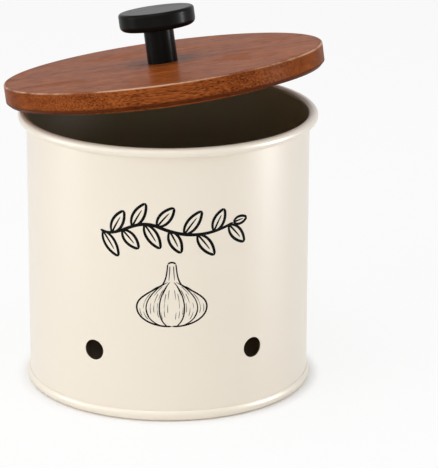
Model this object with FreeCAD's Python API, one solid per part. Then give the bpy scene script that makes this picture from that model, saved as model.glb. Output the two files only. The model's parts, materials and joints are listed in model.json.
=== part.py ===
"""Garlic keeper: a sheet steel canister with a loose round wooden lid and a turned knob.

Millimetres, +Z up. The origin is the centre of the ring that the canister stands on, and the
front is towards -Y. The lid is drawn seated and is then tipped about the rim to the place
where it lies ajar.
"""
import FreeCAD, Part
import math
import os

from FreeCAD import Vector

# Canister: a rolled wall with its rim curled outwards
BODY_DIAMETER = 140.0
BODY_HEIGHT = 138.4
SHEET = 0.6
RIM_CURL_DIAMETER = 4.8
RIM_CURL_TURN = 310.0
SEAM_LAP = 6.0
SEAM_END_MARGIN = 2.0

# Vents: round holes low in the wall, in pairs about the front and the back
VENT_DIAMETER = 10.2
VENT_HEIGHT = 33.6
VENT_ANGLE = 33.3

# Base: a pressed pan whose folded bead grips the foot of the wall from outside
BASE_SHEET = 0.7
BASE_CLEARANCE = 0.05
BEAD_RADIUS = 3.0
BEAD_REACH = 1.25
BEAD_LIP = 0.12
FOOT_FOLD_RADIUS = 1.5
FOOT_RING_WIDTH = 6.0
BASE_PANEL_RISE = 2.0
BASE_PANEL_SLOPE = 2.5

# Lid: a wooden disc with a shallow step that drops inside the rim
LID_OVERHANG = 9.1
LID_THICKNESS = 10.5
LID_TOP_ROUND = 0.8
LID_FOOT_CHAMFER = 1.6
STEP_DEPTH = 2.0
STEP_CLEARANCE = 1.0
STEP_CHAMFER = 0.5
SEAT_CLEARANCE = 0.3
LID_TILT = 10.06
TILT_AZIMUTH = 137.56

# Knob: a round head on a straight post
POST_DIAMETER = 14.8
POST_HEIGHT = 17.1
HEAD_DIAMETER = 37.5
HEAD_THICKNESS = 9.1
HEAD_TOP_ROUND = 1.5
HEAD_FOOT_ROUND = 2.9

# Screw and washer that pull the knob down on the lid from below
SCREW_DIAMETER = 5.0
SCREW_HOLE_CLEARANCE = 0.25
SCREW_THREAD_CLEARANCE = 0.05
SCREW_GRIP = 6.0
SCREW_TIP_ROOM = 0.6
SCREW_HEAD_DIAMETER = 9.5
SCREW_HEAD_HEIGHT = 2.8
SCREW_HEAD_ROUND = 0.8
SCREW_SOCKET_WIDTH = 3.0
SCREW_SOCKET_DEPTH = 1.6
WASHER_DIAMETER = 14.0
WASHER_THICKNESS = 1.2
RECESS_CLEARANCE = 0.6

# Places that follow from the sizes above
WALL_OUTER = BODY_DIAMETER / 2
WALL_INNER = WALL_OUTER - SHEET
CURL_RADIUS = RIM_CURL_DIAMETER / 2
CURL_CENTRE = WALL_INNER + CURL_RADIUS
CURL_HEIGHT = BODY_HEIGHT - CURL_RADIUS
BEAD_INNER = WALL_OUTER + BASE_CLEARANCE
BEAD_CENTRE = WALL_OUTER + BEAD_REACH - BEAD_RADIUS
BEAD_TURN = math.degrees(math.acos((BEAD_INNER + BEAD_LIP - BEAD_CENTRE) / BEAD_RADIUS))
BEAD_TOP = BEAD_RADIUS + BEAD_RADIUS * math.sin(math.radians(BEAD_TURN))
WALL_FOOT = BASE_SHEET + FOOT_FOLD_RADIUS
LID_RADIUS = WALL_OUTER + LID_OVERHANG
LID_SEAT = BODY_HEIGHT + SEAT_CLEARANCE
LID_TOP = LID_SEAT + LID_THICKNESS
STEP_FACE = LID_SEAT - STEP_DEPTH
STEP_RADIUS = WALL_INNER - STEP_CLEARANCE
RECESS_RADIUS = WASHER_DIAMETER / 2 + RECESS_CLEARANCE
RECESS_TOP = STEP_FACE + WASHER_THICKNESS + SCREW_HEAD_HEIGHT + RECESS_CLEARANCE
WASHER_FOOT = RECESS_TOP - WASHER_THICKNESS
HEAD_SEAT = LID_TOP + POST_HEIGHT
HOLE_RADIUS = SCREW_DIAMETER / 2 + SCREW_HOLE_CLEARANCE
THREAD_RADIUS = SCREW_DIAMETER / 2 + SCREW_THREAD_CLEARANCE

UP = Vector(0, 0, 1)
TILT_DIRECTION = Vector(math.cos(math.radians(TILT_AZIMUTH)), math.sin(math.radians(TILT_AZIMUTH)), 0)
TILT_PIVOT = TILT_DIRECTION * CURL_CENTRE + UP * CURL_HEIGHT
TILT_AXIS = UP.cross(TILT_DIRECTION)


def on_section(radius, height):
    """A point of a turned profile, which lies in the XZ plane."""
    return Vector(radius, 0, height)


def on_circle(centre_radius, centre_height, radius, degrees):
    """A point of a circle in the profile plane, its angle taken from +X towards +Z."""
    angle = math.radians(degrees)
    return on_section(centre_radius + radius * math.cos(angle), centre_height + radius * math.sin(angle))


def arc(centre_radius, centre_height, radius, start, end):
    """An arc in the profile plane, from one angle to the other."""
    places = [on_circle(centre_radius, centre_height, radius, a) for a in (start, (start + end) / 2, end)]
    return Part.Arc(*places).toShape()


def turned(parts):
    """Turn a closed profile about Z. Its arcs are joined by straight lines through loose points."""
    edges = []
    first = None
    last = None
    for part in parts:
        is_arc = isinstance(part, Part.Edge)
        begin = part.valueAt(part.FirstParameter) if is_arc else part
        finish = part.valueAt(part.LastParameter) if is_arc else part
        if last is not None and not last.isEqual(begin, 1e-7):
            edges.append(Part.makeLine(last, begin))
        if is_arc:
            edges.append(part)
        first = begin if first is None else first
        last = finish
    if not last.isEqual(first, 1e-7):
        edges.append(Part.makeLine(last, first))
    face = Part.Face(Part.Wire(edges))
    return face.revolve(Vector(0, 0, 0), UP, 360)


def vent_cutters():
    """Straight punches through the wall, in pairs about the front and the back."""
    punches = []
    for middle in (-90.0, 90.0):
        for side in (-VENT_ANGLE, VENT_ANGLE):
            angle = math.radians(middle + side)
            outward = Vector(math.cos(angle), math.sin(angle), 0)
            start = outward * (WALL_INNER - RIM_CURL_DIAMETER) + UP * VENT_HEIGHT
            punches.append(Part.makeCylinder(VENT_DIAMETER / 2, 3 * RIM_CURL_DIAMETER, start, outward))
    return punches


def side_seam():
    """The lap of the rolled sheet: a second thickness in a narrow strip up the back."""
    foot = BEAD_TOP + SEAM_END_MARGIN
    top = CURL_HEIGHT - CURL_RADIUS - SEAM_END_MARGIN
    middle_of_sheet = WALL_OUTER - SHEET / 2
    corners = [
        on_section(middle_of_sheet, foot),
        on_section(WALL_OUTER + SHEET, foot),
        on_section(WALL_OUTER + SHEET, top),
        on_section(middle_of_sheet, top),
    ]
    face = Part.Face(Part.makePolygon(corners + corners[:1]))
    sweep = math.degrees(SEAM_LAP / WALL_OUTER)
    face.rotate(Vector(0, 0, 0), UP, 90 - sweep / 2)
    return face.revolve(Vector(0, 0, 0), UP, sweep)


def body_shell():
    """The rolled wall, one sheet from its foot inside the bead to the outward curl of the rim."""
    curl_end = 180 - RIM_CURL_TURN
    shell = turned([
        on_section(WALL_OUTER, WALL_FOOT),
        arc(CURL_CENTRE, CURL_HEIGHT, CURL_RADIUS - SHEET, 180, curl_end),
        arc(CURL_CENTRE, CURL_HEIGHT, CURL_RADIUS, curl_end, 180),
        on_section(WALL_INNER, WALL_FOOT),
    ])
    return shell.fuse(side_seam()).cut(vent_cutters())


def base_pan():
    """The floor: a folded bead up the outside of the wall, a flat foot ring and a raised panel."""
    ring_inner = BEAD_CENTRE - FOOT_RING_WIDTH
    panel = ring_inner - BASE_PANEL_SLOPE
    return turned([
        on_section(0, BASE_PANEL_RISE),
        on_section(panel, BASE_PANEL_RISE),
        on_section(ring_inner, 0),
        arc(BEAD_CENTRE, BEAD_RADIUS, BEAD_RADIUS, -90, BEAD_TURN),
        on_section(BEAD_INNER, BEAD_TOP),
        arc(BEAD_INNER - FOOT_FOLD_RADIUS, WALL_FOOT, FOOT_FOLD_RADIUS, 0, -90),
        on_section(ring_inner, BASE_SHEET),
        on_section(panel, BASE_PANEL_RISE + BASE_SHEET),
        on_section(0, BASE_PANEL_RISE + BASE_SHEET),
    ])


def lid_board():
    """The wooden disc, with its locating step and the recess for the screw head below."""
    return turned([
        on_section(HOLE_RADIUS, RECESS_TOP),
        on_section(RECESS_RADIUS, RECESS_TOP),
        on_section(RECESS_RADIUS, STEP_FACE),
        on_section(STEP_RADIUS - STEP_CHAMFER, STEP_FACE),
        on_section(STEP_RADIUS, STEP_FACE + STEP_CHAMFER),
        on_section(STEP_RADIUS, LID_SEAT),
        on_section(LID_RADIUS - LID_FOOT_CHAMFER, LID_SEAT),
        on_section(LID_RADIUS, LID_SEAT + LID_FOOT_CHAMFER),
        arc(LID_RADIUS - LID_TOP_ROUND, LID_TOP - LID_TOP_ROUND, LID_TOP_ROUND, 0, 90),
        on_section(HOLE_RADIUS, LID_TOP),
    ])


def knob_post():
    """The straight post between the lid and the head, with a clear hole for the screw."""
    return turned([
        on_section(HOLE_RADIUS, LID_TOP),
        on_section(POST_DIAMETER / 2, LID_TOP),
        on_section(POST_DIAMETER / 2, HEAD_SEAT),
        on_section(HOLE_RADIUS, HEAD_SEAT),
    ])


def knob_head():
    """The round head, flat on top, with a blind hole that the screw bites in."""
    edge = HEAD_DIAMETER / 2
    top = HEAD_SEAT + HEAD_THICKNESS
    hole_end = HEAD_SEAT + SCREW_GRIP + SCREW_TIP_ROOM
    return turned([
        on_section(THREAD_RADIUS, HEAD_SEAT),
        arc(edge - HEAD_FOOT_ROUND, HEAD_SEAT + HEAD_FOOT_ROUND, HEAD_FOOT_ROUND, -90, 0),
        arc(edge - HEAD_TOP_ROUND, top - HEAD_TOP_ROUND, HEAD_TOP_ROUND, 0, 90),
        on_section(0, top),
        on_section(0, hole_end),
        on_section(THREAD_RADIUS, hole_end),
    ])


def lid_screw():
    """A round-headed machine screw with a hexagon socket, head down in the recess."""
    head = SCREW_HEAD_DIAMETER / 2
    foot = WASHER_FOOT - SCREW_HEAD_HEIGHT
    screw = turned([
        on_section(0, foot),
        arc(head - SCREW_HEAD_ROUND, foot + SCREW_HEAD_ROUND, SCREW_HEAD_ROUND, -90, 0),
        on_section(head, WASHER_FOOT),
        on_section(SCREW_DIAMETER / 2, WASHER_FOOT),
        on_section(SCREW_DIAMETER / 2, HEAD_SEAT + SCREW_GRIP),
        on_section(0, HEAD_SEAT + SCREW_GRIP),
    ])
    reach = SCREW_SOCKET_WIDTH / 2 / math.cos(math.radians(30))
    corners = []
    for step in range(7):
        angle = math.radians(60 * step)
        corners.append(Vector(reach * math.cos(angle), reach * math.sin(angle), foot))
    socket = Part.Face(Part.makePolygon(corners)).extrude(UP * SCREW_SOCKET_DEPTH)
    return screw.cut(socket)


def screw_washer():
    """The plain washer that spreads the screw's pull over the wood."""
    return turned([
        on_section(HOLE_RADIUS, WASHER_FOOT),
        on_section(WASHER_DIAMETER / 2, WASHER_FOOT),
        on_section(WASHER_DIAMETER / 2, RECESS_TOP),
        on_section(HOLE_RADIUS, RECESS_TOP),
    ])


def tipped(shape):
    """Move a piece of the lid from its seat to where the lid lies ajar on the rim."""
    moved = shape.copy()
    moved.rotate(TILT_PIVOT, TILT_AXIS, LID_TILT)
    return moved


def main():
    pieces = {
        "body_shell": body_shell(),
        "base_pan": base_pan(),
        "lid_board": tipped(lid_board()),
        "knob_post": tipped(knob_post()),
        "knob_head": tipped(knob_head()),
        "lid_screw": tipped(lid_screw()),
        "screw_washer": tipped(screw_washer()),
    }
    os.makedirs("parts", exist_ok=True)
    for name, shape in pieces.items():
        shape.exportStep("parts/" + name + ".step")
        box = shape.BoundBox
        print(name, shape.isValid(), len(shape.Solids), "volume", round(shape.Volume, 1))
        print("  from", round(box.XMin, 2), round(box.YMin, 2), round(box.ZMin, 2))
        print("  to", round(box.XMax, 2), round(box.YMax, 2), round(box.ZMax, 2))
    print("pivot", tuple(TILT_PIVOT), "axis", tuple(TILT_AXIS))


main()
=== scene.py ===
"""The finish, print, light and camera for a cream steel canister with a loose wooden lid."""

import json
import math

import bmesh
import bpy
from mathutils import Matrix, Vector
from mathutils.geometry import interpolate_bezier


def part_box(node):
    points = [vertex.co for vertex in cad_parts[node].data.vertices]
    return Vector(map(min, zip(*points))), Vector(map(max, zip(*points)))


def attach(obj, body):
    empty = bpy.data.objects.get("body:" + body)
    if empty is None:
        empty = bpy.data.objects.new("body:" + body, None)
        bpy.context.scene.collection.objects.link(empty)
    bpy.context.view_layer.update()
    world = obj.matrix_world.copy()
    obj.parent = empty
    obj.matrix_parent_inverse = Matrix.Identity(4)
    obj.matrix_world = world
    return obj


MM = 0.001

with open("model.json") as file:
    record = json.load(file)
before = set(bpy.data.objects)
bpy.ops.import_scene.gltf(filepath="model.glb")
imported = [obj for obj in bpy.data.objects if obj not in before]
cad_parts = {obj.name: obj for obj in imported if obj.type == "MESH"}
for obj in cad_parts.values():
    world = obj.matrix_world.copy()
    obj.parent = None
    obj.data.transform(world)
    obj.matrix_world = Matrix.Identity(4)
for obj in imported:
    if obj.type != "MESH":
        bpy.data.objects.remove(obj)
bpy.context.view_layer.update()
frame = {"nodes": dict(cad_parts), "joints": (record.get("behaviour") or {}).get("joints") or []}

# The canister's wall, which is one sheet curled outwards at the rim
RIM_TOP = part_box("body_shell")[1].z
WALL_RADIUS = 70.0 * MM
SHEET_THICKNESS = 0.6 * MM
INNER_RADIUS = WALL_RADIUS - SHEET_THICKNESS

# The lid as it lies level when closed, and the joint that tips it
HINGE = frame["joints"][0]
PIVOT = Vector(HINGE["pos_m"])
TIP_AXIS = Vector(HINGE["axis"])
LID_TILT = -math.radians(HINGE["range_deg"][0])
LID_RADIUS = 79.1 * MM
LID_THICKNESS = 10.5 * MM
LID_SEAT = 138.7 * MM
LID_TOP = LID_SEAT + LID_THICKNESS

# Where the middle of the garland and the foot of the bulb are printed, in millimetres: the distance
# round the wall to the right of the front, and the height
GARLAND_MIDDLE = (-3.6, 97.6)
BULB_FOOT = (-1.2, 50.0)

# Camera, fitted to the outlines in the photograph, which is 438 by 468 pixels
PHOTO_HEIGHT = 468
FOCAL_PIXELS = 2832.3
CAMERA_PLACE = Vector((-0.05513, -1.35038, 0.50764))
CAMERA_PITCH = math.radians(17.821)
CAMERA_YAW = math.radians(3.414)
CAMERA_ROLL = math.radians(0.255)
SENSOR = 36.0
VIEW_DEPTH = 50.0

# Light: world level for diffuse light, soft lamps, and strips that only show as reflections
WORLD_LEVEL = 0.51
SOFT_LAMPS = {
    "key_left": {"place": (-1.1, -0.8, 0.6), "size": (0.9, 1.1), "watts": 6.4},
    "fill_right": {"place": (1.1, -0.5, 0.55), "size": (0.6, 0.9), "watts": 2.2},
    "overhead": {"place": (-0.2, -0.1, 1.5), "size": (1.2, 0.8), "watts": 6.2},
    "front_low": {"place": (-0.15, -1.5, 0.3), "size": (1.0, 0.4), "watts": 1.3},
}
STRIPS = {
    "strip_left": {"place": (-0.85, -0.08, 0.2), "size": (0.3, 0.4), "watts": 2.3},
    "strip_right": {"place": (0.84, -0.14, 0.2), "size": (0.05, 0.4), "watts": 6.6},
    "strip_high": {"place": (-0.1, -0.75, 1.0), "size": (0.9, 0.25), "watts": 3.0},
}
LAMP_AIM = Vector((0, 0, 0.09))

# The floor's reach each way from the middle. Seen directly, it is whitened by this share, which
# sets in over this distance from the canister's wall, leaving a ring of painted shade round the
# foot
FLOOR_REACH = 6.0
FLOOR_WHITE_SHARE = 0.82
FLOOR_WHITE_START = 8 * MM

# Colours, linear
CREAM = (0.85, 0.765, 0.64)
CREAM_SHADE = (0.80, 0.70, 0.56)
# A darker olive-brown for the inner face and the floor inside
INSIDE_OLIVE = (0.27, 0.205, 0.10)
WOOD_DARK = (0.050, 0.010, 0.003)
WOOD_MID = (0.18, 0.038, 0.008)
WOOD_LIGHT = (0.36, 0.090, 0.018)
WOOD_PALE = (0.46, 0.16, 0.05)
# A painted highlight colour for the top arris of the lid
WOOD_ARRIS_HIGHLIGHT = (0.74, 0.48, 0.31)
BLACK_SATIN = (0.005, 0.0045, 0.004)
BLACK_CLOUD = (0.008, 0.0075, 0.007)
ZINC = (0.62, 0.63, 0.64)
ZINC_DULL = (0.48, 0.47, 0.43)
INK = (0.003, 0.003, 0.003)
INK_THIN = (0.006, 0.0055, 0.005)
FLOOR = (0.97, 0.97, 0.97)
WHITE = (1.0, 1.0, 1.0)

# Enamel: the half gloss of a baked coating, and the cycles in a metre and depth of its orange peel
ENAMEL_GLOSS = {
    "Specular IOR Level": 0.7,
    "Coat Weight": 0.8,
    "Coat IOR": 1.6,
    "Coat Roughness": 0.36,
}
ENAMEL_ROUGHNESS = 0.42
ENAMEL_PEEL = 850.0
ENAMEL_CLOUD = 16.0
PEEL_DEPTH = 0.04 * MM
PEEL_STRENGTH = 0.35

# Handling and turning marks: noise cycles in a metre, or in a metre each way
SMUDGE_CYCLES = 34.0
HAIR_GRAIN = (28.0, 700.0, 60.0)
TURNING_GRAIN = (300.0, 300.0, 5000.0)

# Wood: noise cycles in a metre along, across and through the board
WANDER_GRAIN = (7.0, 26.0, 26.0)
FIBRE_GRAIN = (24.0, 760.0, 760.0)
STREAK_GRAIN = (5.0, 95.0, 95.0)
PORE_GRAIN = (210.0, 1900.0, 1900.0)
RIPPLE_GRAIN = (120.0, 14.0, 60.0)

# Wood: the tree's heart beside and above the middle of the board, its rings, and their wander
HEART_SIDE = -45 * MM
HEART_HEIGHT = 30 * MM
RING_SPACING = 4.1 * MM
WANDER_SIDE = 28 * MM
WANDER_DEEP = 12 * MM

# Wood: how strongly each mark shows in the colour
RING_SHARE = 0.16
RIPPLE_SHARE = 0.22
FLECK_SHARE = 0.4
PORE_SHARE = 0.62


class Sheet:
    """A node tree with short ways to add nodes and link them."""

    def __init__(self, tree):
        self.tree = tree

    def add(self, kind, inputs=None, **settings):
        made = self.tree.nodes.new(kind)
        for name, value in settings.items():
            setattr(made, name, value)
        for key, value in (inputs or {}).items():
            self.feed(made.inputs[key], value)
        return made

    def feed(self, socket, value):
        if isinstance(value, bpy.types.NodeSocket):
            self.tree.links.new(value, socket)
        elif isinstance(value, tuple) and len(value) == 3 and socket.type == "RGBA":
            socket.default_value = (*value, 1.0)
        else:
            socket.default_value = value

    def math(self, operation, first, second=0.0):
        return self.add("ShaderNodeMath", {0: first, 1: second}, operation=operation).outputs[0]

    def plus(self, first, second):
        return self.math("ADD", first, second)

    def times(self, first, second):
        return self.math("MULTIPLY", first, second)

    def parts(self, vector):
        return self.add("ShaderNodeSeparateXYZ", {"Vector": vector}).outputs

    def radius(self, axes):
        """The distance from the canister's upright axis."""
        squares = self.plus(self.math("POWER", axes["X"], 2.0), self.math("POWER", axes["Y"], 2.0))
        return self.math("SQRT", squares)

    def ramp(self, value, low, high, out_low=0.0, out_high=1.0):
        ends = {"From Min": low, "From Max": high, "To Min": out_low, "To Max": out_high}
        made = self.add(
            "ShaderNodeMapRange", {"Value": value, **ends}, interpolation_type="SMOOTHSTEP"
        )
        return made.outputs["Result"]

    def mix(self, amount, first, second):
        """A colour between two. A Mix node's colours are its inputs 6 and 7 and its output 2."""
        made = self.add("ShaderNodeMix", data_type="RGBA", clamp_factor=True)
        self.feed(made.inputs[0], amount)
        self.feed(made.inputs[6], first)
        self.feed(made.inputs[7], second)
        return made.outputs[2]

    def noise(self, place, scale, detail=2.0, roughness=0.5, distortion=0.0):
        form = {"Scale": scale, "Detail": detail, "Roughness": roughness, "Distortion": distortion}
        return self.add("ShaderNodeTexNoise", {"Vector": place, **form}).outputs["Fac"]

    def grain(self, place, cycles, detail=2.0, roughness=0.5):
        """Noise with its own number of cycles in a metre each way."""
        drawn_out = self.add("ShaderNodeMapping", {"Vector": place, "Scale": Vector(cycles)})
        return self.noise(drawn_out.outputs["Vector"], 1.0, detail, roughness)

    def bump(self, height, distance, strength):
        form = {"Height": height, "Distance": distance, "Strength": strength}
        return self.add("ShaderNodeBump", form).outputs["Normal"]


def new_group(name, inputs, outputs):
    """A shader node group with named inputs and outputs, and its sheet, entry and exit."""
    group = bpy.data.node_groups.new(name, "ShaderNodeTree")
    for label, kind, value in inputs:
        socket = group.interface.new_socket(label, in_out="INPUT", socket_type=kind)
        if value is not None:
            socket.default_value = value
    for label, kind in outputs:
        group.interface.new_socket(label, in_out="OUTPUT", socket_type=kind)
    sheet = Sheet(group)
    entry = sheet.add("NodeGroupInput")
    leave = sheet.add("NodeGroupOutput")
    return group, sheet, entry.outputs, leave.inputs


def coat_texture_group():
    """Sprayed coating: the fine orange peel of its surface and faint cloudiness of its colour."""
    group, sheet, given, result = new_group(
        "coat_texture",
        [
            ("Place", "NodeSocketVector", None),
            ("Peel Size", "NodeSocketFloat", 900.0),
            ("Cloud Size", "NodeSocketFloat", 18.0),
        ],
        [("Height", "NodeSocketFloat"), ("Cloud", "NodeSocketFloat")],
    )
    peel = sheet.noise(given["Place"], given["Peel Size"], detail=1.0, roughness=0.4)
    swell = sheet.noise(given["Place"], sheet.times(given["Peel Size"], 0.22), detail=1.0)
    height = sheet.plus(sheet.times(peel, 0.45), sheet.times(swell, 0.55))
    cloud = sheet.noise(given["Place"], given["Cloud Size"], detail=3.0, roughness=0.6)
    sheet.feed(result["Height"], height)
    sheet.feed(result["Cloud"], sheet.ramp(cloud, 0.35, 0.7))
    return group


def handling_group():
    """Handling: broad smudges and a few hair scratches that change only the gloss."""
    group, sheet, given, result = new_group(
        "handling",
        [("Place", "NodeSocketVector", None), ("Amount", "NodeSocketFloat", 0.5)],
        [("Rougher", "NodeSocketFloat")],
    )
    smudge = sheet.noise(given["Place"], SMUDGE_CYCLES, detail=4.0, roughness=0.65, distortion=0.6)
    hair = sheet.grain(given["Place"], HAIR_GRAIN, detail=0.0)
    marks = sheet.math("MAXIMUM", sheet.ramp(smudge, 0.5, 0.75), sheet.ramp(hair, 0.74, 0.8))
    sheet.feed(result["Rougher"], sheet.times(marks, given["Amount"]))
    return group


def new_material(name):
    """A material with an empty sheet, the place on the object and a Principled shader."""
    material = bpy.data.materials.new(name)
    material.use_nodes = True
    material.node_tree.nodes.clear()
    sheet = Sheet(material.node_tree)
    shader = sheet.add("ShaderNodeBsdfPrincipled")
    output = sheet.add("ShaderNodeOutputMaterial")
    sheet.feed(output.inputs["Surface"], shader.outputs["BSDF"])
    place = sheet.add("ShaderNodeTexCoord").outputs["Object"]
    return material, sheet, shader, place


def use_group(sheet, group, **inputs):
    made = sheet.add("ShaderNodeGroup", node_tree=group)
    for label, value in inputs.items():
        sheet.feed(made.inputs[label.replace("_", " ")], value)
    return made.outputs


def within_wall(sheet, place):
    """One on the wall's inner face and the inner slope of the rim's curl, and nothing outside."""
    axes = sheet.parts(place)
    below_curl = sheet.ramp(axes["Z"], RIM_TOP - 0.7 * MM, RIM_TOP - 1.2 * MM)
    radius = sheet.radius(axes)
    inner_face = sheet.ramp(radius, INNER_RADIUS + 0.5 * MM, INNER_RADIUS + 0.3 * MM)
    return sheet.times(below_curl, inner_face)


def within_pan(sheet, place):
    """One on the floor inside the canister, and nothing on the pan's bead and underside."""
    normal = sheet.parts(sheet.add("ShaderNodeTexCoord").outputs["Normal"])
    facing_up = sheet.ramp(normal["Z"], 0.3, 0.5)
    radius = sheet.radius(sheet.parts(place))
    return sheet.times(facing_up, sheet.ramp(radius, INNER_RADIUS + 0.2 * MM, INNER_RADIUS))


def enamel(name, coat_texture, handling, within, cloudiness, smudges):
    """Cream coating, and a darker olive-brown where the function within says, both in a half gloss.
    """
    material, sheet, shader, place = new_material(name)
    inside = within(sheet, place)
    coat = use_group(
        sheet, coat_texture, Place=place, Peel_Size=ENAMEL_PEEL, Cloud_Size=ENAMEL_CLOUD
    )
    marks = use_group(sheet, handling, Place=place, Amount=smudges)
    cream = sheet.mix(sheet.times(coat["Cloud"], cloudiness), CREAM, CREAM_SHADE)
    sheet.feed(shader.inputs["Base Color"], sheet.mix(inside, cream, INSIDE_OLIVE))
    sheet.feed(shader.inputs["Roughness"], sheet.plus(marks["Rougher"], ENAMEL_ROUGHNESS))
    sheet.feed(shader.inputs["Normal"], sheet.bump(coat["Height"], PEEL_DEPTH, PEEL_STRENGTH))
    for socket, value in ENAMEL_GLOSS.items():
        shader.inputs[socket].default_value = value
    return material


def board_place(sheet, place):
    """The place on the lid's board turned back to level, with X along the grain."""
    turned_back = Matrix.Rotation(-LID_TILT, 4, TIP_AXIS) @ Matrix.Translation(-PIVOT)
    rotation = turned_back.to_euler("XYZ")
    location = turned_back.translation + PIVOT
    made = sheet.add(
        "ShaderNodeMapping", {"Vector": place, "Rotation": rotation, "Location": location}
    )
    return made.outputs["Vector"]


def growth_rings(sheet, board, axes):
    """The dark late wood of rings round a heart that lies beside and above the board."""
    wander = sheet.grain(board, WANDER_GRAIN)
    across = sheet.plus(axes["Y"], sheet.times(wander, WANDER_SIDE))
    depth = sheet.plus(axes["Z"], sheet.times(wander, WANDER_DEEP))
    side = sheet.math("POWER", sheet.math("SUBTRACT", across, HEART_SIDE), 2.0)
    deep = sheet.math("POWER", sheet.math("SUBTRACT", depth, HEART_HEIGHT), 2.0)
    from_heart = sheet.math("SQRT", sheet.plus(side, deep))
    ring = sheet.math("FRACT", sheet.times(from_heart, 1 / RING_SPACING))
    return sheet.times(sheet.ramp(ring, 0.35, 0.92), sheet.ramp(ring, 1.0, 0.93))


def lid_wood(handling):
    """Reddish brown wood: growth rings seen along the board, fibres, pores and a thin lacquer, with
    painted shade at the foot and a painted highlight on the top arris.
    """
    material, sheet, shader, place = new_material("lid_wood")
    board = board_place(sheet, place)
    axes = sheet.parts(board)
    # Fibres, streaks and pores, drawn out along the board, and a ripple across it
    late_wood = growth_rings(sheet, board, axes)
    fibres = sheet.grain(board, FIBRE_GRAIN, detail=4.0, roughness=0.66)
    streaks = sheet.grain(board, STREAK_GRAIN, detail=3.0, roughness=0.55)
    dashes = sheet.grain(board, PORE_GRAIN, detail=1.0)
    pores = sheet.ramp(dashes, 0.54, 0.66)
    flecks = sheet.ramp(dashes, 0.46, 0.34)
    ripple = sheet.ramp(sheet.grain(board, RIPPLE_GRAIN), 0.45, 0.7)
    # Colour
    tone = sheet.plus(sheet.times(fibres, 0.55), sheet.times(streaks, 0.75))
    body = sheet.mix(sheet.ramp(tone, 0.36, 0.92), WOOD_MID, WOOD_LIGHT)
    ringed = sheet.mix(sheet.times(late_wood, RING_SHARE), body, WOOD_DARK)
    rippled = sheet.mix(sheet.times(ripple, RIPPLE_SHARE), ringed, WOOD_LIGHT)
    flecked = sheet.mix(sheet.times(flecks, FLECK_SHARE), rippled, WOOD_PALE)
    colour = sheet.mix(sheet.times(pores, PORE_SHARE), flecked, WOOD_DARK)
    # Painted shade darkens the lower side and the chamfer of the foot, and a painted highlight
    # makes the top arris paler
    radius = sheet.radius(axes)
    # Painted shade: the lower side and the foot's chamfer are darkened towards WOOD_DARK
    painted_foot_shade = sheet.ramp(axes["Z"], LID_SEAT + 2.7 * MM, LID_SEAT + 1.5 * MM, 0.14, 0.8)
    near_side = sheet.ramp(radius, LID_RADIUS - 2.6 * MM, LID_RADIUS - 1.8 * MM)
    near_edge = sheet.ramp(radius, LID_RADIUS - 1.0 * MM, LID_RADIUS - 0.3 * MM)
    near_top = sheet.ramp(axes["Z"], LID_TOP - 0.9 * MM, LID_TOP - 0.3 * MM)
    foot_shaded = sheet.mix(sheet.times(painted_foot_shade, near_side), colour, WOOD_DARK)
    # Painted highlight: a pale line in patches along the top arris
    patches = sheet.ramp(streaks, 0.35, 0.62, 0.1, 0.75)
    painted_arris_highlight = sheet.times(sheet.times(near_edge, near_top), patches)
    sheet.feed(shader.inputs["Base Color"], sheet.mix(painted_arris_highlight, foot_shaded, WOOD_ARRIS_HIGHLIGHT))
    # Gloss and relief
    marks = use_group(sheet, handling, Place=place, Amount=0.12)
    rough = sheet.plus(marks["Rougher"], sheet.ramp(fibres, 0.3, 0.7, 0.27, 0.38))
    sheet.feed(shader.inputs["Roughness"], rough)
    relief = sheet.math("SUBTRACT", sheet.times(fibres, 0.5), pores)
    sheet.feed(shader.inputs["Normal"], sheet.bump(relief, 0.05 * MM, 0.5))
    shader.inputs["Specular IOR Level"].default_value = 0.01
    return material


def knob_satin(coat_texture, handling):
    """Black satin coating with faint smudges."""
    material, sheet, shader, place = new_material("knob_satin")
    coat = use_group(sheet, coat_texture, Place=place, Peel_Size=1100.0, Cloud_Size=60.0)
    marks = use_group(sheet, handling, Place=place, Amount=0.14)
    sheet.feed(shader.inputs["Base Color"], sheet.mix(coat["Cloud"], BLACK_SATIN, BLACK_CLOUD))
    sheet.feed(shader.inputs["Roughness"], sheet.plus(marks["Rougher"], 0.3))
    sheet.feed(shader.inputs["Normal"], sheet.bump(coat["Height"], 0.03 * MM, 0.4))
    shader.inputs["Specular IOR Level"].default_value = 0.05
    return material


def zinc_plate(handling):
    """Zinc-plated steel with fine turning marks."""
    material, sheet, shader, place = new_material("zinc_plate")
    marks = use_group(sheet, handling, Place=place, Amount=0.25)
    turning = sheet.grain(place, TURNING_GRAIN)
    tint = sheet.mix(sheet.ramp(turning, 0.35, 0.65), ZINC, ZINC_DULL)
    sheet.feed(shader.inputs["Base Color"], tint)
    sheet.feed(shader.inputs["Roughness"], sheet.plus(marks["Rougher"], 0.28))
    sheet.feed(shader.inputs["Normal"], sheet.bump(turning, 0.02 * MM, 0.4))
    shader.inputs["Metallic"].default_value = 1.0
    return material


def printed_ink(coat_texture):
    """Black print, a little worn through by the coating under it."""
    material, sheet, shader, place = new_material("printed_ink")
    coat = use_group(sheet, coat_texture, Place=place, Peel_Size=ENAMEL_PEEL, Cloud_Size=140.0)
    sheet.feed(shader.inputs["Base Color"], sheet.mix(coat["Cloud"], INK, INK_THIN))
    sheet.feed(shader.inputs["Roughness"], sheet.ramp(coat["Cloud"], 0.0, 1.0, 0.5, 0.62))
    sheet.feed(shader.inputs["Normal"], sheet.bump(coat["Height"], PEEL_DEPTH, PEEL_STRENGTH))
    shader.inputs["Specular IOR Level"].default_value = 0.06
    return material


def on_wall(along, height, rise):
    """A point on the canister's wall: along is the distance round it to the right of the front."""
    angle = along / WALL_RADIUS
    out = WALL_RADIUS + rise
    return Vector((out * math.sin(angle), -out * math.cos(angle), height))


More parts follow.
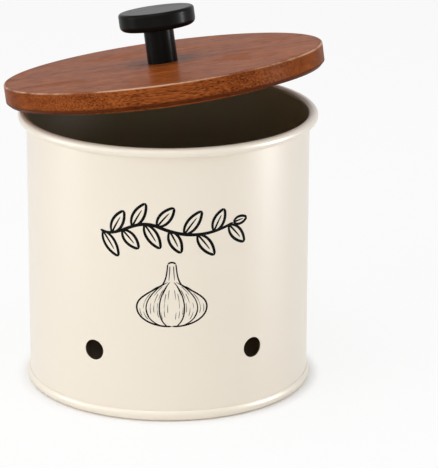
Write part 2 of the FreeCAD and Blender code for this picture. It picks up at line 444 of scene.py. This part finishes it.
def bezier(points, steps):
    """Points along cubic curves through every third point of the list, which is in millimetres."""
    knots = [Vector((x, y, 0)) for x, y in points]
    path = [knots[0]]
    for first in range(0, len(knots) - 1, 3):
        path += interpolate_bezier(*knots[first:first + 4], steps)[1:]
    return path


class Print:
    """Ink strokes that lie on the canister's wall, collected in one mesh."""

    RISE = 0.03 * MM
    SINK = 0.01 * MM
    STEP_UP = 0.001 * MM
    THINNEST = 0.12
    BLUNT_TIP = 0.02

    def __init__(self, name, origin):
        self.name = name
        self.origin = origin
        self.mesh = bmesh.new()
        self.strokes = 0

    def stroke(self, path, width, thin_start=0.0, thin_end=0.0):
        """A ribbon along a path with round ends. thin_start and thin_end taper it, from 0 to 1."""
        lengths = [0.0]
        for before, after in zip(path, path[1:]):
            lengths.append(lengths[-1] + (after - before).length)
        total = lengths[-1]
        rise = self.RISE + self.STEP_UP * self.strokes
        self.strokes += 1
        rings = []
        for index, point in enumerate(path):
            ahead = path[min(index + 1, len(path) - 1)] - path[max(index - 1, 0)]
            side = Vector((-ahead.y, ahead.x, 0)).normalized()
            share = lengths[index] / total
            taper = 1 - thin_start * (1 - share) ** 2 - thin_end * share ** 2
            half = width / 2 * max(taper, self.THINNEST)
            end = min(lengths[index], total - lengths[index])
            if end < half:
                half *= math.sqrt(max(1 - (1 - end / half) ** 2, self.BLUNT_TIP))
            rings.append(self.ring(point, side * half, rise))
        for one, two in zip(rings, rings[1:]):
            for corner in range(4):
                after = (corner + 1) % 4
                self.mesh.faces.new((one[corner], one[after], two[after], two[corner]))
        self.mesh.faces.new(rings[0][::-1])
        self.mesh.faces.new(rings[-1])

    def ring(self, point, reach, rise):
        """The four corners of a stroke's section, two above the wall and two just under it."""
        corners = []
        for sign, height in ((1, rise), (-1, rise), (-1, -self.SINK), (1, -self.SINK)):
            place = point + reach * sign
            spot = on_wall((self.origin[0] + place.x) * MM, (self.origin[1] + place.y) * MM, height)
            corners.append(self.mesh.verts.new(spot))
        return corners

    def finished(self, material):
        bmesh.ops.recalc_face_normals(self.mesh, faces=self.mesh.faces)
        data = bpy.data.meshes.new(self.name)
        self.mesh.to_mesh(data)
        self.mesh.free()
        piece = bpy.data.objects.new(self.name, data)
        bpy.context.scene.collection.objects.link(piece)
        data.materials.append(material)
        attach(piece, "canister")
        return piece


def leaf(drawing, root, angle, length, spread, weight):
    """An outlined leaf with a midrib, growing from root at an angle in degrees."""
    turn = Matrix.Rotation(math.radians(angle), 2)

    def placed(points):
        return [tuple(turn @ Vector(p) + Vector(root)) for p in points]

    for side in (1, -1):
        edge = [
            (0, 0),
            (0.22 * length, side * spread),
            (0.68 * length, side * spread * 0.9),
            (length, 0),
        ]
        drawing.stroke(bezier(placed(edge), 16), weight, thin_start=0.35, thin_end=0.2)
    midrib = [
        (0, 0),
        (0.25 * length, 0.04 * spread),
        (0.5 * length, 0.05 * spread),
        (0.72 * length, 0),
    ]
    drawing.stroke(bezier(placed(midrib), 10), weight * 0.6, thin_end=0.6)


def garland_print(material):
    """A leafy garland across the front, in hand-drawn strokes."""
    drawing = Print("garland_print", GARLAND_MIDDLE)
    half = 33.0
    swing = 3.2
    stem_weight = 2.1
    leaf_count = 11
    leaf_spread = 3.7
    leaf_weight = 1.6
    stem = [
        (-half, -2.0),
        (-half * 0.72, -swing * 2.0),
        (-half * 0.5, swing * 1.9),
        (-half * 0.14, swing * 0.5),
        (half * 0.2, -swing * 1.0),
        (half * 0.52, -swing * 1.6),
        (half, 1.6),
    ]
    path = bezier(stem, 40)
    drawing.stroke(path, stem_weight, thin_start=0.4, thin_end=0.4)
    # Leaves below and above the stem in turn, each with its own lean and length, and one at the tip
    for index in range(leaf_count):
        at = path[2 + round(index * (len(path) - 5) / (leaf_count - 1))]
        side = 1 if index % 2 else -1
        lean = 56 + 8 * math.sin(2.3 * index)
        length = 13.2 + 1.2 * math.cos(1.7 * index)
        leaf(drawing, (at.x, at.y), side * lean, length, leaf_spread, leaf_weight)
    tip = path[-1]
    leaf(drawing, (tip.x, tip.y), angle=12, length=7.5, spread=2.6, weight=1.5)
    return drawing.finished(material)


def bulb_print(material):
    """A plain line drawing of a ribbed bulb with a short neck."""
    drawing = Print("bulb_print", BULB_FOOT)
    belly = 17.0
    top = 25.0
    neck = 2.4
    outline_weight = 0.95
    rim_weight = 0.8
    crease_weight = 0.45
    shade_weight = 0.36
    fleck_weight = 0.3

    def meridian(side, reach, steps):
        """A line over the bulb from its neck to its foot, reach being its share of the width."""
        return bezier([
            (side * neck * reach, top - 3.5),
            (side * belly * reach * 1.1, top - 10.0),
            (side * belly * reach * 1.35, top - 22.0),
            (side * belly * reach * 0.35, top - 26.0),
        ], steps)

    for side in (1, -1):
        outline = [
            (side * neck * 0.8, top + 5.5),
            (side * neck, top + 2.0),
            (side * neck, top - 2.0),
            (side * neck * 1.9, top - 5.0),
            (side * belly * 0.62, top - 9.0),
            (side * belly, top - 11.5),
            (side * belly, top - 16.5),
            (side * belly, top - 23.0),
            (side * belly * 0.45, top - 26.5),
            (0, top - 26.0),
        ]
        drawing.stroke(bezier(outline, 22), outline_weight, thin_start=0.35, thin_end=0.2)
        for reach, weight in ((0.74, 0.7), (0.36, 0.8)):
            drawing.stroke(meridian(side, reach, 26), weight, thin_start=0.5, thin_end=0.3)
        # Short shading strokes, which run in from the neck and from the foot and end unevenly
        for step in range(9):
            line = meridian(side, 0.12 + 0.1 * step, 40)
            high = 7 + round(3 * math.sin(2.1 * step))
            low = 29 + round(3 * math.sin(1.3 * step + side))
            drawing.stroke(line[high:high + 9], shade_weight, thin_start=0.3, thin_end=0.8)
            drawing.stroke(line[low - 8:low], shade_weight, thin_start=0.8, thin_end=0.3)
            if step % 2:
                drawing.stroke(line[17:23], fleck_weight, thin_start=0.6, thin_end=0.8)
    rim = [(-neck * 0.8, top + 5.5), (-0.8, top + 6.6), (0.8, top + 6.6), (neck * 0.8, top + 5.5)]
    drawing.stroke(bezier(rim, 10), rim_weight)
    for lean in (-0.4, 0.35):
        crease = [
            (neck * lean, top + 4.6),
            (neck * lean, top + 2),
            (neck * lean * 1.3, top),
            (neck * lean * 1.5, top - 3),
        ]
        drawing.stroke(bezier(crease, 10), crease_weight, thin_end=0.6)
    return drawing.finished(material)


def dress_frame(materials):
    """Give each CAD node its own finish."""
    for node, material in materials.items():
        piece = frame["nodes"][node]
        piece.data.materials.clear()
        piece.data.materials.append(material)


def add_camera():
    """The photograph's camera, from its place and its pitch, yaw and roll."""
    data = bpy.data.cameras.new("photo_camera")
    data.sensor_width = SENSOR
    data.lens = FOCAL_PIXELS / PHOTO_HEIGHT * SENSOR
    data.clip_end = VIEW_DEPTH
    camera = bpy.data.objects.new("photo_camera", data)
    bpy.context.scene.collection.objects.link(camera)
    forward = Vector((
        math.sin(CAMERA_YAW) * math.cos(CAMERA_PITCH),
        math.cos(CAMERA_YAW) * math.cos(CAMERA_PITCH),
        -math.sin(CAMERA_PITCH),
    ))
    level_right = Vector((math.cos(CAMERA_YAW), -math.sin(CAMERA_YAW), 0))
    level_up = level_right.cross(forward)
    right = level_right * math.cos(CAMERA_ROLL) + level_up * math.sin(CAMERA_ROLL)
    up = right.cross(forward)
    turned = Matrix((right, up, -forward)).transposed().to_4x4()
    camera.matrix_world = Matrix.Translation(CAMERA_PLACE) @ turned
    bpy.context.scene.camera = camera


def add_lamps():
    """Area lamps aimed at the canister. The strips add no diffuse light."""
    for name, lamp in {**SOFT_LAMPS, **STRIPS}.items():
        data = bpy.data.lights.new(name, "AREA")
        data.shape = "RECTANGLE"
        data.size, data.size_y = lamp["size"]
        data.energy = lamp["watts"]
        piece = bpy.data.objects.new(name, data)
        bpy.context.scene.collection.objects.link(piece)
        place = Vector(lamp["place"])
        piece.location = place
        piece.rotation_euler = (LAMP_AIM - place).to_track_quat("-Z", "Y").to_euler()
        piece.visible_diffuse = name not in STRIPS


def seen_directly(sheet):
    """One for what the camera, a reflection or a clear piece sees, and nothing for other light."""
    ray = sheet.add("ShaderNodeLightPath").outputs
    straight = sheet.math("MAXIMUM", ray["Is Camera Ray"], ray["Is Glossy Ray"])
    return sheet.math("MAXIMUM", straight, ray["Is Transmission Ray"])


def add_world():
    """An even pale world that looks white where it is seen directly."""
    world = bpy.data.worlds.new("studio")
    bpy.context.scene.world = world
    world.use_nodes = True
    world.node_tree.nodes.clear()
    sheet = Sheet(world.node_tree)
    level = sheet.add("ShaderNodeBackground", {"Color": WHITE, "Strength": WORLD_LEVEL})
    white = sheet.add("ShaderNodeBackground", {"Color": WHITE, "Strength": 1.0})
    share = seen_directly(sheet)
    both = sheet.add("ShaderNodeMixShader", {0: share, 1: level.outputs[0], 2: white.outputs[0]})
    sheet.add("ShaderNodeOutputWorld", {"Surface": both.outputs[0]})


def add_floor():
    """A wide pale floor, whitened where seen directly, that keeps the shadow and is held darker
    near the wall as painted shade.
    """
    mesh = bmesh.new()
    bmesh.ops.create_grid(mesh, x_segments=1, y_segments=1, size=FLOOR_REACH)
    data = bpy.data.meshes.new("floor")
    mesh.to_mesh(data)
    mesh.free()
    floor = bpy.data.objects.new("floor", data)
    bpy.context.scene.collection.objects.link(floor)
    material = bpy.data.materials.new("pale_floor")
    material.use_nodes = True
    material.node_tree.nodes.clear()
    sheet = Sheet(material.node_tree)
    matt = sheet.add("ShaderNodeBsdfDiffuse", {"Color": FLOOR})
    white = sheet.add("ShaderNodeEmission", {"Color": WHITE, "Strength": 1.0})
    place = sheet.add("ShaderNodeTexCoord").outputs["Object"]
    from_middle = sheet.add("ShaderNodeVectorMath", {0: place}, operation="LENGTH")
    # Painted shade: the whitening is held back near the wall, darkening the floor round the foot
    whitening_past_painted_shade = sheet.ramp(
        from_middle.outputs["Value"],
        WALL_RADIUS,
        WALL_RADIUS + FLOOR_WHITE_START,
        0.0,
        FLOOR_WHITE_SHARE,
    )
    share = sheet.times(seen_directly(sheet), whitening_past_painted_shade)
    both = sheet.add("ShaderNodeMixShader", {0: share, 1: matt.outputs[0], 2: white.outputs[0]})
    sheet.add("ShaderNodeOutputMaterial", {"Surface": both.outputs[0]})
    data.materials.append(material)


def main():
    coat_texture = coat_texture_group()
    handling = handling_group()
    knob = knob_satin(coat_texture, handling)
    zinc = zinc_plate(handling)
    ink = printed_ink(coat_texture)
    wall_coat = enamel(
        "canister_coat", coat_texture, handling, within=within_wall, cloudiness=0.12, smudges=0.06
    )
    pan_coat = enamel(
        "base_coat", coat_texture, handling, within=within_pan, cloudiness=0.15, smudges=0.1
    )
    dress_frame({
        "body_shell": wall_coat,
        "base_pan": pan_coat,
        "lid_board": lid_wood(handling),
        "knob_post": knob,
        "knob_head": knob,
        "lid_screw": zinc,
        "screw_washer": zinc,
    })
    garland_print(ink)
    bulb_print(ink)
    add_camera()
    add_lamps()
    add_world()
    add_floor()
    bpy.context.scene.view_settings.view_transform = "Standard"


main()
